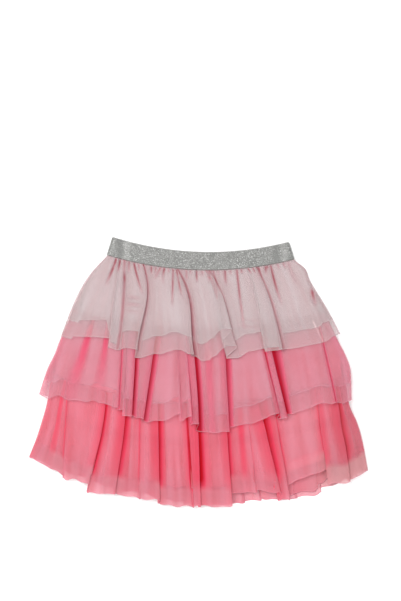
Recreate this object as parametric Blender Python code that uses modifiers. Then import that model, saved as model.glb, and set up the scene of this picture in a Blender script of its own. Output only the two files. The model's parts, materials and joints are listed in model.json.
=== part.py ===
"""A girl's three-tier tulle skirt with an elastic waistband, laid flat on its back.

Metres, +Z up.  The skirt lies along Y, its waist towards +Y, and its widest hem runs along X.
The origin is under the middle of the skirt, at the height of the surface that it lies on.

Each piece is one flattened tube of cloth.  A tube's Line is one level line of it, from the left
side fold over the front to the right side fold and back underneath; its folds come from the
tables of Folds.  Sizes in the tables are millimetres.
"""
import math
from collections import namedtuple

import bmesh
import bpy

MM = 0.001

NET_WALL = 1.0          # thickness of one layer of net
BAND_WALL = 2.2         # thickness of the elastic
UNDER_HEM_SHORT = 24    # how much shorter than its outer layer an under layer is
GATHER_HEIGHT = 0.8     # rise and fall of the gathers under the waistband
GATHER_START = 0.08     # share of the first tier's length that they rise over
GATHER_REACH = 0.45     # and the share where they have died out
PANEL_CROWN = 0.9       # how much a panel swells between two folds
BACK_PRESS = 0.25       # height of a fold on the pressed back, as a share of the front's
HEM_REACH = 0.3         # share of a tier's length over which its hem swings
HEM_CURVE = 1.5         # how late in that share it does
FULL_SWELL_STEPS = 3    # columns between two folds that let a panel swell fully
SIDE_STEPS = 4          # flat faces round each side fold
SIDE_STRETCH = 1.6      # how much wider than high half of a side fold is
RISE_CURVE = 1.3        # how late the folds stand up on the way to the hem

# Widest step between two columns of points, along the hem.
BAND_STEP = 12
UNDERSKIRT_STEP = 36
TIER_1_STEP = 9.5
TIER_STEP = 14

# One level line: its left end, middle and right end, the heights of the back and front walls
# above the surface, and the distance from the outer to the under layer.
Line = namedtuple("Line", "left_x left_y mid_y right_x right_y back front nest")

# One fold line: its place at the seam and at the hem, its width, how far the panels beside it
# stand up, and where their hems end beside it.
Fold = namedtuple("Fold", "seam_x hem_x width left_up right_up hem_left hem_right")

# A column of points down a tube.  turn is 90 on the front, -90 on the back and 0 at a side fold.
Column = namedtuple("Column", "seam hem turn side rise gather drop")

BAND_LINES = (
    Line(-121, 190, 169, 127, 183, 1.1, 7.1, 0),
    Line(-129, 164, 143, 135, 158, 1.1, 7.1, 0),
)

TIER_1_LINES = (
    Line(-129.5, 163.1, 142.2, 136, 157.1, 0.5, 7.7, 1.3),
    Line(-145, 147, 128, 150, 146, 0.5, 9.9, 1.65),
    Line(-159, 129, 108, 161, 129, 0.5, 11.0, 1.7),
    Line(-177, 94, 67, 179, 92, 0.5, 16.8, 1.7),
    Line(-194, 50, 20, 200, 53, 0.5, 17.4, 1.7),
)

TIER_2_LINES = (
    Line(-170, 88, 61, 173, 85, 5.3, 12.5, 1.3),
    Line(-197, 39, 5, 199, 37, 5.3, 14.3, 1.7),
    Line(-202, 27, -8, 204, 27, 3.0, 13.2, 1.7),
    Line(-213, 4, -39, 213, 1, 0.5, 16.8, 1.7),
    Line(-225, -32, -80, 216, -40, 0.5, 17.4, 1.7),
)

TIER_3_LINES = (
    Line(-207, -2, -44, 206, -6, 5.3, 12.5, 1.3),
    Line(-214, -46, -91, 214, -51, 5.3, 14.3, 1.7),
    Line(-219, -63, -108, 222, -68, 0.5, 10.6, 1.7),
    Line(-229, -94, -150, 231, -97, 0.5, 10.2, 1.7),
    Line(-239.5, -121, -190, 239.5, -140, 0.5, 5.2, 1.7),
)

UNDERSKIRT_LINES = (
    Line(-125.3, 163.1, 142.2, 131.8, 157.1, 3.1, 5.1, 0),
    Line(-140, 147, 128, 145, 146, 4.3, 6.3, 0),
    Line(-152, 129, 108, 154, 129, 4.8, 6.8, 0),
    Line(-165.5, 88, 61, 168.5, 85, 7.9, 9.9, 0),
    Line(-191, 39, 5, 193, 37, 8.8, 10.8, 0),
    Line(-196, 27, -8, 198, 27, 7.2, 9.2, 0),
    Line(-202.5, -2, -44, 201.5, -6, 7.9, 9.9, 0),
    Line(-208, -46, -91, 208, -51, 8.8, 10.8, 0),
    Line(-213, -63, -108, 216, -68, 5.0, 7.0, 0),
    Line(-222, -92, -146, 224, -94, 5.0, 7.0, 0),
)

TIER_1_FRONT = (
    Fold(-116, -128, 6, 2.0, 3.5, 47, 35),
    Fold(-105, -115, 6, 1.0, 1.0, 31, 33),
    Fold(-78, -88, 5, 4.5, 0.0, 32, 20),
    Fold(-33, -6, 8, 4.5, 0.0, 27, 18),
    Fold(12, 38, 5, 1.5, 4.0, 35, 19),
    Fold(73, 92, 7, 3.5, 1.0, 33, 28),
    Fold(84, 119, 5, 4.0, 1.0, 32, 32),
    Fold(126, 160, 8, 2.5, 1.0, 37, 39),
)

TIER_2_FRONT = (
    Fold(-150, -184, 8, 1.5, 0.5, -39, -39),
    Fold(-125, -137, 8, 1.5, 1.0, -42, -43),
    Fold(-102, -106, 5, 4.5, 1.5, -53, -61),
    Fold(-90, -92, 5, 4.5, 0.0, -62, -63),
    Fold(-60, -77, 8, 1.0, 1.0, -66, -70),
    Fold(-15, -23, 5, 4.5, 2.0, -61, -68),
    Fold(-5, -2, 8, 3.5, 0.0, -74, -84),
    Fold(37, 44, 8, 4.5, 0.5, -84, -79),
    Fold(90, 104, 5, 4.0, 2.0, -60, -66),
    Fold(102, 118, 7, 4.0, 0.0, -66, -67),
    Fold(143, 146, 9, 1.5, 1.0, -56, -54),
    Fold(163, 191, 5, 3.5, 1.0, -43, -43),
)

TIER_3_FRONT = (
    Fold(-187, -209, 8, 1.5, 2.0, -133, -135),
    Fold(-176, -191, 7, 1.0, 1.0, -146, -147),
    Fold(-133, -154, 5, 4.0, 1.0, -157, -168),
    Fold(-105, -119, 7, 2.0, 1.0, -170, -171),
    Fold(-81, -84, 6, 2.0, 1.5, -172, -158),
    Fold(-57, -57, 6, 3.5, 0.0, -160, -176),
    Fold(-15, -11, 5, 4.0, 2.5, -178, -168),
    Fold(-1, 4, 9, 3.5, 0.0, -170, -176),
    Fold(37, 46, 6, 4.5, 1.0, -176, -174),
    Fold(63, 73, 8, 1.5, 1.5, -172, -171),
    Fold(90, 109, 7, 4.0, 0.5, -171, -165),
    Fold(108, 128, 7, 1.5, 2.0, -163, -161),
    Fold(143, 160, 8, 1.0, 1.0, -157, -154),
    Fold(171, 183, 7, 3.0, 1.0, -147, -139),
    Fold(191, 208, 8, 3.5, 0.5, -133, -133),
)


def lerp(start, end, share):
    return start + (end - start) * share


def level_y(line, across):
    """Y on a level line, which sags between its ends; across runs from -1, left, to 1, right."""
    tilt = (line.right_y - line.left_y) / 2
    sag = (line.right_y + line.left_y) / 2 - line.mid_y
    return line.mid_y + tilt * across + sag * across * across


def half_height(line):
    return (line.front - line.back) / 2


def wall_ends(line):
    """Where the front and back walls of a level line run into its side folds."""
    reach = half_height(line) * SIDE_STRETCH
    return line.left_x + reach, line.right_x - reach


def place_across(line, x):
    """The place of x between the two side folds of a level line, from -1 to 1."""
    left, right = wall_ends(line)
    return 2 * (x - left) / (right - left) - 1


def mirrored(folds, lines):
    """The back's folds: the front's, seen from behind, and pressed."""
    seam_sum = lines[0].left_x + lines[0].right_x
    hem_sum = lines[-1].left_x + lines[-1].right_x
    return [Fold(seam_sum - fold.seam_x, hem_sum - fold.hem_x, fold.width,
                 fold.right_up * BACK_PRESS, fold.left_up * BACK_PRESS, None, None)
            for fold in reversed(folds)]


def wall_stations(lines, folds, side):
    """The columns at both sides of each fold, from left to right, with the two ends of the wall."""
    seam_line = lines[0]
    hem_line = lines[-1]
    turn = 90 * side
    stations = [Column(-1, -1, turn, side, 0, 0, 0)]
    for fold in folds:
        for edge, up, hem in ((-0.5, fold.left_up, fold.hem_left),
                              (0.5, fold.right_up, fold.hem_right)):
            seam = place_across(seam_line, fold.seam_x + edge * fold.width / 2)
            at_hem = place_across(hem_line, fold.hem_x + edge * fold.width)
            drop = 0 if hem is None else hem - level_y(hem_line, at_hem)
            stations.append(Column(seam, at_hem, turn, side, up, 0, drop))
    stations.append(Column(1, 1, turn, side, 0, 0, 0))
    return stations


def wall_columns(lines, folds, side, spacing):
    """All columns of the front or back wall: the stations, and even steps between them."""
    stations = wall_stations(lines, folds, side)
    half_width = (lines[-1].right_x - lines[-1].left_x) / 2
    crown = PANEL_CROWN if side > 0 else PANEL_CROWN * BACK_PRESS
    columns = [stations[0]]
    for first, last in zip(stations, stations[1:]):
        steps = max(1, round((last.hem - first.hem) * half_width / spacing))
        for step in range(1, steps + 1):
            share = step / steps
            swell = crown * math.sin(math.pi * share) * min(1, (steps - 1) / FULL_SWELL_STEPS)
            columns.append(Column(lerp(first.seam, last.seam, share),
                                  lerp(first.hem, last.hem, share),
                                  first.turn, side,
                                  lerp(first.rise, last.rise, share) + swell, 0,
                                  lerp(first.drop, last.drop, share)))
    middle = columns[1:-1]
    gathered = [column._replace(gather=1 if index % 2 else -1)
                for index, column in enumerate(middle)]
    return [columns[0]] + gathered + [columns[-1]]


def side_columns(side):
    """The columns round one side fold, from the front round to the back."""
    turns = [90 - 180 * step / SIDE_STEPS for step in range(1, SIDE_STEPS)]
    return [Column(side, side, turn, 0, 0, 0, 0) for turn in turns]


def ring_columns(lines, front_folds, back_folds, spacing):
    """All columns round a tube: front left to right, right side, back right to left, left side."""
    front = wall_columns(lines, front_folds, 1, spacing)
    back = wall_columns(lines, back_folds, -1, spacing)
    right = side_columns(1)
    left = side_columns(-1)
    return front + right + back[::-1] + left[::-1]


def down_share(line, lines):
    """How far down its tube a level line is, from 0 at the seam to 1 at the hem."""
    return (lines[0].mid_y - line.mid_y) / (lines[0].mid_y - lines[-1].mid_y)


def tube_point(column, line, down, inset, gather_height):
    """The point of a column on a level line; inset is how far inside the outer layer it lies."""
    left, right = wall_ends(line)
    across = lerp(column.seam, column.hem, down)
    x = lerp(left, right, (across + 1) / 2)
    turn = math.radians(column.turn)
    inner = half_height(line) - inset
    if column.side == 0:
        x += math.copysign(inner * SIDE_STRETCH * math.cos(turn), column.seam)
    fade = max(0, 1 - down / GATHER_REACH) * min(1, down / GATHER_START)
    gather = gather_height * (column.gather + 1) / 2 * fade
    middle = (line.front + line.back) / 2
    z = middle + inner * math.sin(turn) + column.rise * down ** RISE_CURVE + gather
    swing = max(0, (down - (1 - HEM_REACH)) / HEM_REACH) ** HEM_CURVE
    y = level_y(line, across) + column.drop * swing
    return (x * MM, y * MM, z * MM)


def line_between(upper, lower, share):
    return Line(*(lerp(a, b, share) for a, b in zip(upper, lower)))


def with_under_hem(lines):
    """A tier's level lines, with one more where its under layer ends."""
    upper = lines[-2]
    lower = lines[-1]
    share = 1 - UNDER_HEM_SHORT / (upper.mid_y - lower.mid_y)
    return lines[:-1] + (line_between(upper, lower, share), lower)


def new_material(name, colour, roughness, metallic=0.0):
    material = bpy.data.materials.new(name)
    material.use_nodes = True
    shader = material.node_tree.nodes["Principled BSDF"]
    shader.inputs["Base Color"].default_value = (*colour, 1)
    shader.inputs["Roughness"].default_value = roughness
    shader.inputs["Metallic"].default_value = metallic
    material.diffuse_color = (*colour, 1)
    return material


def add_tube(collection, name, rows, wall, material):
    """One piece of cloth: a surface lofted through closed rows of points, with its thickness."""
    mesh = bpy.data.meshes.new(name)
    cloth = bmesh.new()
    rings = [[cloth.verts.new(point) for point in row] for row in rows]
    for upper, lower in zip(rings, rings[1:]):
        for index in range(len(upper)):
            after = (index + 1) % len(upper)
            cloth.faces.new((upper[index], lower[index], lower[after], upper[after]))
    bmesh.ops.recalc_face_normals(cloth, faces=cloth.faces)
    cloth.to_mesh(mesh)
    cloth.free()
    mesh.materials.append(material)
    mesh.shade_smooth()
    piece = bpy.data.objects.new(name, mesh)
    collection.objects.link(piece)
    thickness = piece.modifiers.new("cloth thickness", "SOLIDIFY")
    thickness.thickness = wall * MM
    thickness.offset = 0
    thickness.use_even_offset = True
    return piece


def layer_rows(lines, columns, nested, gather_height):
    """The rows of points of one layer of a tier: the outer one, or the under one if nested is 1."""
    kept_lines = lines[:-1] if nested else lines
    return [[tube_point(column, line, down_share(line, lines), nested * line.nest, gather_height)
             for column in columns] for line in kept_lines]


def add_tier(collection, number, lines, front_folds, spacing, gather_height, material):
    """A tier: two layers of net in one seam, the under one shorter."""
    back_folds = mirrored(front_folds, lines)
    columns = ring_columns(lines, front_folds, back_folds, spacing)
    all_lines = with_under_hem(lines)
    for nested, layer in enumerate(("outer", "under")):
        rows = layer_rows(all_lines, columns, nested, gather_height)
        add_tube(collection, f"tier_{number}_{layer}", rows, NET_WALL, material)


def add_plain_tube(collection, name, lines, wall, spacing, material):
    """A tube without folds: the waistband or the underskirt."""
    columns = ring_columns(lines, (), (), spacing)
    rows = [[tube_point(column._replace(rise=0), line, down_share(line, lines), 0, 0)
             for column in columns] for line in lines]
    return add_tube(collection, name, rows, wall, material)


def clear_scene():
    for thing in list(bpy.data.objects):
        bpy.data.objects.remove(thing)


def main():
    clear_scene()
    collection = bpy.data.collections.new("tulle_skirt")
    bpy.context.scene.collection.children.link(collection)
    silver = new_material("silver elastic", (0.36, 0.36, 0.35), 0.45, 0.6)
    pale_net = new_material("pale pink net", (0.66, 0.50, 0.51), 0.8)
    mid_net = new_material("pink net", (0.74, 0.22, 0.31), 0.8)
    hot_net = new_material("deep pink net", (0.82, 0.13, 0.20), 0.8)
    jersey = new_material("pink underskirt", (0.75, 0.25, 0.32), 0.9)
    add_plain_tube(collection, "waistband", BAND_LINES, BAND_WALL, BAND_STEP, silver)
    add_plain_tube(collection, "underskirt", UNDERSKIRT_LINES, NET_WALL, UNDERSKIRT_STEP, jersey)
    add_tier(collection, 1, TIER_1_LINES, TIER_1_FRONT, TIER_1_STEP, GATHER_HEIGHT, pale_net)
    add_tier(collection, 2, TIER_2_LINES, TIER_2_FRONT, TIER_STEP, 0, mid_net)
    add_tier(collection, 3, TIER_3_LINES, TIER_3_FRONT, TIER_STEP, 0, hot_net)


main()
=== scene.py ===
"""A child's tulle skirt, laid flat: a silver elastic waist, three gathered tiers of net and an underskirt."""
import json
import math
import random
from collections import namedtuple
from functools import cached_property

import bpy
import numpy as np
from bpy.props import FloatProperty, FloatVectorProperty, PointerProperty
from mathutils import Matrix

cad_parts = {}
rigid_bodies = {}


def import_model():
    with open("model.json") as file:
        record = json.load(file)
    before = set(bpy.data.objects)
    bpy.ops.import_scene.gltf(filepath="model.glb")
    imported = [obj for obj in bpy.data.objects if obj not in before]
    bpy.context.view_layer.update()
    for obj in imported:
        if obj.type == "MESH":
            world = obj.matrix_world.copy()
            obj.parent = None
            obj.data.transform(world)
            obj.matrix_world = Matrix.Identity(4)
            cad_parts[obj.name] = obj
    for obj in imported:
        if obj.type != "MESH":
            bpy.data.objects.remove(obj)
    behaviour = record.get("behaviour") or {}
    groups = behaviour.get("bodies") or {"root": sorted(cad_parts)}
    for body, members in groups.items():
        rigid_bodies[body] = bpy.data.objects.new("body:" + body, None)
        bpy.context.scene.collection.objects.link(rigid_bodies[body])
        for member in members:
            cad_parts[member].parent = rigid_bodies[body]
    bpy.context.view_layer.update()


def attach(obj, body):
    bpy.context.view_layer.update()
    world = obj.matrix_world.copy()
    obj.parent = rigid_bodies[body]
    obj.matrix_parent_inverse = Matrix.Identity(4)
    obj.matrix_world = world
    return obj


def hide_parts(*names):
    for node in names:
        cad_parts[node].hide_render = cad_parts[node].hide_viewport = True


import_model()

bl_info = {
    "name": "Tulle Skirt Workshop",
    "version": (1, 0, 0),
    "blender": (4, 5, 0),
    "location": "3D View > Sidebar > Skirt",
    "description": "Sews a three-tier tulle skirt over its frame, piece by piece",
    "category": "Object",
}

MM = 0.001

# ---------------------------------------------------------------- tables, in millimetres

# How far a level line of a layer reaches, in millimetres. back and front are the heights of its two walls above
# the floor, and nest is how far inside the outer layer the under layer lies.
Line = namedtuple("Line", "left_x left_y mid_y right_x right_y back front nest", defaults=(0,))

BAND_LINES = (
    Line(-121, 190, 169, 127, 183, 1.1, 7.1),
    Line(-129, 164, 143, 135, 158, 1.1, 7.1),
)
TIER_1_LINES = (
    Line(-126.5, 167.1, 146.2, 132.6, 161.1, 2.6, 5.6, 0.4),
    Line(-129.5, 163.1, 142.2, 136, 157.1, 1.8, 7.0, 0.6),
    Line(-145, 147, 128, 150, 146, 0.5, 9.9, 1.2),
    Line(-159, 129, 108, 157, 129, 0.4, 11.0, 1.4),
    Line(-177, 94, 67, 179, 92, 0.3, 16.8, 1.5),
    Line(-194, 50, 20, 200, 53, 0.3, 17.6, 1.5),
)
TIER_2_LINES = (
    Line(-176, 88, 61, 177.5, 85, 5.3, 12.5, 1.0),
    Line(-197.5, 39, 5, 200, 37, 5.0, 14.3, 1.3),
    Line(-202, 27, -8, 205.5, 27, 3.0, 13.8, 1.4),
    Line(-213, 4, -39, 214.5, 1, 0.4, 16.6, 1.5),
    Line(-225, -32, -80, 216, -40, 0.3, 17.4, 1.5),
)
TIER_3_LINES = (
    Line(-207, -2, -44, 206, -6, 5.3, 12.5, 1.0),
    Line(-214, -46, -91, 214, -51, 5.0, 14.1, 1.3),
    Line(-219, -63, -108, 222, -68, 0.8, 11.2, 1.4),
    Line(-229, -94, -150, 231, -97, 0.4, 10.2, 1.4),
    Line(-239.5, -121, -190, 239.5, -140, 0.3, 6.2, 1.2),
)
UNDERSKIRT_LINES = (
    Line(-124.5, 166.4, 145.5, 130.8, 160.4, 3.5, 4.7),
    Line(-140, 147, 128, 145, 146, 4.3, 6.3),
    Line(-152, 129, 108, 154, 129, 4.8, 6.8),
    Line(-165.5, 88, 61, 168.5, 85, 7.9, 9.9),
    Line(-191, 39, 5, 193, 37, 8.8, 10.8),
    Line(-196, 27, -8, 198, 27, 7.2, 9.2),
    Line(-202.5, -2, -44, 201.5, -6, 7.9, 9.9),
    Line(-208, -46, -91, 208, -51, 8.2, 10.2),
    Line(-213, -63, -108, 216, -68, 5.0, 7.0),
    Line(-225, -101, -158, 227, -103, 3.9, 5.7),
)

# A pleat runs from the seam to the hem. The cloth rises by left_up and right_up at its two sides, and where lap isn't
# 0 the higher side is folded over the lower one by that much. hem_left and hem_right are the hem's Y on each side.
# deep and wide say how strongly the valley beside it is shaded and how far, at the seam and at the hem. bow and sag
# push its upper and lower third sideways.
Pleat = namedtuple("Pleat", "seam_x hem_x left_up right_up lap hem_left hem_right deep_seam deep_hem wide_seam "
                            "wide_hem bow sag", defaults=(0,) * 6)


def ridge(seam_x, hem_x, up, hem_y, *shades, **bent):
    """A pleat that is the same on both sides and has no lap."""
    return Pleat(seam_x, hem_x, up, up, 0, hem_y, hem_y, *shades, **bent)


TIER_1_FRONT = (
    ridge(-123.4, -174.1, 1.2, 50.1),
    ridge(-117.7, -141.7, 2.2, 48.6),
    Pleat(-110.7, -126.9, 0.8, 2.6, 2.2, 47.2, 34.5, 0.1, 0.35, 1.4, 2.8, bow=-1.4),
    Pleat(-104.4, -114.2, 0, 0, 0, 30.3, 32.4, 0.7, 1.25, 2, 2.2, bow=1.4, sag=2.4),
    ridge(-92.4, -100.8, 2.6, 33.8, bow=2.8),
    Pleat(-80.4, -85.5, 4.5, 0, 3, 31, 19.7, 0.95, 1.0, 2.2, 3.2, bow=9.8),
    ridge(-57.1, -58.5, 2, 24.7),
    ridge(-44.4, -28.9, 3.4, 31.7, bow=2.8),
    Pleat(-33.1, -5.9, 4.5, 0, 3.3, 24.7, 22, 0.9, 1.4, 2.6, 6, bow=9.9),
    ridge(-14.8, 6.3, 0.8, 15.4, bow=2.8),
    ridge(-9, 13.6, 1.4, 16, bow=2.8),
    ridge(-3.5, 21.9, 2.2, 22, bow=2.8),
    ridge(3.5, 36, 3, 33.6, bow=2.8),
    Pleat(12, 53.6, 4.2, 0.2, 15, 37, 19.5, 0.8, 0.8, 2.1, 4.2, bow=7.6),
    ridge(37.4, 72.6, 1.8, 28.9, bow=2.8),
    Pleat(67, 93.1, 2.2, 3.6, 2.6, 33.1, 28.2, 0.1, 0.3, 1.4, 2.8, bow=2.8),
    Pleat(79.5, 118, 4.5, 0.5, 3.3, 31.7, 31.7, 0.8, 1.15, 2.1, 4.4, bow=3.4, sag=2.4),
    ridge(92.4, 136.1, 1.4, 33.1, bow=4.2),
    ridge(109.3, 155.8, 2.8, 37.4, bow=2.8),
    ridge(123.4, 174.8, 1, 41.6, bow=5.6),
    ridge(129, 186.8, 1.6, 46.5, bow=2.8),
)

TIER_2_FRONT = (
    ridge(-162.9, -195.3, 2, -32.4),
    ridge(-146.5, -184, 0, -39.5, 0.75, 0.12, 1.6, 9),
    ridge(-140.3, -167.1, 2.6, -40.2),
    ridge(-126.5, -142.5, 0.8, -41.6, 0.7, 0, 1.8, 7),
    ridge(-120.6, -129, 2.2, -45.8),
    Pleat(-106.5, -112.4, 3, 1.2, 1.9, -51.5, -52.9, 0.7, 0.6, 1.4, 1.7),
    Pleat(-99.4, -105, 3.2, 2.8, 1.9, -53.6, -61.3, 0, 0.2, 1.4, 2.1),
    Pleat(-86.7, -93.1, 4.2, 0, 3, -62.7, -61.3, 1, 0.85, 4.2, 4.2),
    ridge(-79.7, -85.3, 2, -63.4),
    Pleat(-58.5, -76.8, 3, 0, 2.6, -65.6, -69.8, 0.9, 0.8, 5.6, 4.9),
    ridge(-45.8, -52.9, 3, -68.4),
    Pleat(-28.9, -24.7, 3.4, 2.8, 2.2, -60.6, -68.4, 0.1, 0.2, 1.4, 2.1),
    Pleat(-18.5, -8.5, 4.6, 1.6, 3, -63.4, -73.3, 0.4, 0.35, 5.6, 3.2),
    Pleat(-10, 0.7, 3.8, 0, 3, -74, -82.5, 1, 1, 5.6, 5.6, bow=0.6, sag=1.2),
    ridge(12, 19, 2, -86, 0.35, 0.3, 5, 5),
    Pleat(35.2, 44.1, 4.6, 0.4, 3, -83.9, -79, 0.9, 0.7, 7, 4.2),
    ridge(58.5, 67, 1.8, -74),
    Pleat(83.9, 113.5, 4.2, 2.6, 2.6, -57.8, -65.6, 1, 0.9, 2.1, 2.1),
    Pleat(93.8, 125.5, 4.2, 0, 3, -64.2, -61.3, 1, 0.9, 11.3, 4.2),
    ridge(120.6, 143.1, 1.6, -55),
    ridge(145.9, 171.3, 3.2, -43.7),
    Pleat(166.5, 192.5, 3.6, 1, 2.2, -43, -43.7, 0.75, 0.7, 1.2, 1.6),
    ridge(168.5, 203.7, 1.8, -44.4),
)

TIER_3_FRONT = (
    ridge(-188.2, -215, 0.4, -132.5, 0.4, 0.25, 7, 7),
    ridge(-185.4, -203.7, 1.6, -138.9),
    Pleat(-182.6, -191.8, 1.4, 3.4, 2.2, -145.9, -150.2, 0.2, 0.3, 1.4, 2.1),
    ridge(-158.6, -172.7, 2, -153),
    Pleat(-130.4, -154.4, 4.2, 0.5, 2.6, -159.3, -171.3, 0.95, 0.45, 2.8, 3.2, bow=4.2),
    ridge(-119.1, -134.7, 2.4, -172.7),
    Pleat(-102.2, -117.7, 3.4, 0.2, 2.6, -173.4, -173.4, 0.95, 0.5, 4.6, 5.6, bow=2.8),
    ridge(-92.4, -99.4, 1.6, -175.5),
    Pleat(-81.1, -83.9, 1.4, 3.2, 1.9, -178.4, -179.8, 0.4, 0.3, 1.4, 1.7),
    Pleat(-57.1, -54.3, 3.6, 0.2, 2.6, -181.9, -186.8, 0.95, 0.7, 4.9, 4.2),
    ridge(-47.2, -43, 2.2, -188.2),
    ridge(-34.5, -28.9, 1.2, -191.1),
    Pleat(-17, -8.5, 2.6, 3.4, 1.9, -191.1, -190.3, 0.9, 0.85, 1.6, 2),
    Pleat(-3.5, 3.5, 4.2, 0, 3.3, -190.3, -191.1, 1, 1, 4.2, 7, bow=1.4),
    ridge(14.8, 21.9, 2.4, -190.3),
    Pleat(37.4, 47.9, 4.4, 0.8, 2.6, -188.9, -171, 0.9, 0.5, 3.5, 3.2),
    ridge(57.1, 67, 1.2, -171, 0.45, 0.35, 4.2, 4.2),
    Pleat(67, 82.5, 3, 1.8, 1.9, -170.5, -168, 0.25, 0.2, 1.4, 2.1),
    Pleat(82.5, 116.3, 4.2, 0, 3.3, -170, -181.9, 1, 0.62, 7, 5.6, bow=1.4),
    Pleat(103.6, 129, 3, 0.8, 2.2, -180.5, -159.3, 0.3, 0.2, 1.4, 2.8),
    ridge(124.8, 143.1, 2.8, -152.3),
    ridge(143.1, 162.9, 2, -144.5),
    Pleat(164.3, 182.6, 1.8, 3.4, 2.2, -138.2, -159.3, 0.85, 0.7, 1.6, 2.1),
    Pleat(191, 214.5, 3.6, 0.2, 3, -155.8, -152.3, 0.95, 0.75, 3.2, 4.6),
    ridge(199.5, 227.5, 2.2, -145.9),
)

TIER_3_BACK = (
    ridge(-181.2, -195.3, 1.5, -138.9),
    Pleat(-144.5, -155.8, 3, 0.5, 3, -153, -155.8),
    ridge(-113.5, -122, 2, -165.7),
    Pleat(-79.7, -81.1, 0.5, 3, 3, -172.7, -172.7),
    Pleat(-54.3, -47.2, 2, 2, 0, -182.6, -185.4),
    Pleat(-23.3, -17.6, 3.5, 0.5, 3.3, -186.8, -188.2),
    ridge(10.6, 19, 2, -189.6),
    Pleat(47.2, 62.7, 0.5, 3, 3, -186.8, -184),
    Pleat(75.4, 89.5, 2.5, 0.5, 2.6, -183.3, -180.5),
    ridge(95.2, 112.1, 2, -182.6),
    Pleat(122, 140.3, 3.5, 0.5, 3.3, -179.8, -179.1),
    Pleat(150.2, 171.3, 1, 3, 2.6, -172.7, -164.3),
    ridge(168.5, 191.1, 2, -161.4),
    Pleat(191.1, 213.6, 3, 0.5, 2.6, -153, -151.6),
)

# The long gathers below the waist: each one's place along the seam, how far it leans, how long and deep it runs, its
# half width, and how far below the seam it starts.
Gather = namedtuple("Gather", "x lean length depth width start", defaults=(0,))
GATHERS = [Gather(*row) for row in (
    (-116, -16.5, 46, 1.2, 1.9), (-110.5, -4, 22, 1.7, 1.7), (-104, -1.5, 62, 1.5, 2.0, 13),
    (-98, -1.4, 19.7, 0.8, 1.7), (-50, 0, 26, 0.5, 1.6), (12.5, 3.2, 22, 0.6, 1.4), (84.5, 0, 20, 0.6, 1.4),
    (-91.2, 13.5, 46, 1.1, 1.8), (-84.6, 1.4, 12.7, 0.7, 1.4), (-66.7, 0, 14, 1.3, 1.4), (-59.9, -1.4, 12, 0.8, 1.3),
    (-53.9, -8.5, 19.7, 0.8, 2), (-47.8, -3.5, 15, 1.3, 1.4), (-42.3, 0.7, 8.5, 0.6, 1.3),
    (-35.8, -1.6, 56, 0.9, 1.5), (-31, 9.5, 46, 0.9, 1.6), (-24.7, 1.4, 9.9, 0.6, 1.3), (-17.1, 0, 18.3, 0.8, 1.6),
    (-11.3, -0.7, 8.5, 0.7, 1.3), (-3, 1, 19, 1.5, 1.4), (4.9, 0.7, 9.9, 0.6, 1.3), (15.5, 3, 19, 1.15, 1.4),
    (20.5, 12, 36, 0.9, 1.7), (27.5, 1.4, 9.9, 0.6, 1.3), (37.5, 1, 24, 1.1, 1.6), (45.1, 0.7, 8.5, 0.6, 1.3),
    (54.2, 10.5, 88, 0.85, 1.8), (60.5, 0, 8, 0.9, 1.1), (69.8, 5.6, 10, 0.9, 1.3), (76.8, 4.2, 10, 0.8, 1.1),
    (84.5, 9, 26, 0.9, 1.6), (97.4, -0.8, 8.5, 1.2, 1.4), (101.8, 16, 62, 1.1, 1.9), (94.5, 0.5, 14, 1.2, 1.4),
    (111.4, 2.8, 9.9, 0.6, 1.3), (119.1, 4.2, 11.3, 0.6, 1.4), (126.5, 13, 40, 0.35, 2.2),
    (158.5, 7, 32, 1.8, 2.6, 44),
)]

# Soft wrinkles across the first tier: their middle, half the size of their patch each way, the distance between
# two of them, and their height.
Wrinkles = namedtuple("Wrinkles", "x y half_x half_y step height")
WRINKLES = (
    Wrinkles(-92, 97, 12, 18, 10, 0.95),
    Wrinkles(-148, 70, 26, 9, 8.5, 0.5),
    Wrinkles(70, 66, 20, 13, 10, 0.5),
)

# Where an under layer hangs lower than the rest: from start to gone along the hem, in full between full and fading.
# drop is how much lower, and shade how much deeper its colour is there.
LowHem = namedtuple("LowHem", "on_back start full fading gone drop shade")

# What is a tier's own. cut is its strip's width all round and its height, in metres, and column_step the distance
# between two columns of points. covers says how much of what is behind them the outer and the under layer hide, and
# rich how much of their green and blue the streaks keep. ragged is how uneven the hem is, and shorter how much shorter
# than its layer's due the under layer is cut. hem_fade is how much the painted shade of the valleys fades near the
# hem and soften how much it fades on the way there. folded is how strong the painted shade of cloth folded out of sight
# is. tail is the faint painted shade beside a valley: its share, and its width as a multiple of the valley's and more.
# rim is how strong the painted shade is where the cloth turns over at the sides, and how far in.
Tier = namedtuple("Tier", "slot lines front back low_hems cut column_step covers rich ragged shorter hem_fade soften "
                          "folded tail rim")

NET_WALL = 0.22  # thickness of one layer of tulle
JERSEY_WALL = 0.6
BAND_HEIGHT = 0.025  # metres, as are the cuts, all round, and the lining's hem
BAND_CUT, LINING_CUT, LINING_HEM = (0.51, BAND_HEIGHT), (0.93, 0.327), 0.92
SIDE_STRETCH = 1.6  # how much longer than high a side fold is
BACK_PRESS = 0.25  # the back's folds are pressed to this share of the front's
FLOOR_CLEAR = 0.14  # the lowest that cloth lies above the floor

# The under layer.
SIDE_NEST, SIDE_NEST_CURVE = 1.0, 7  # how much narrower it is at each side, and how late that starts
FOLD_NEST, SEAM_NEST = 0.30, 0.03  # how far inside the outer layer it may lie within a fold, at the hem and the seam
UNDER_RAGGED = 0.4  # how much more uneven its hem is
LOW_CURVE = 3  # how late it starts to hang lower, where it does

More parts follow.
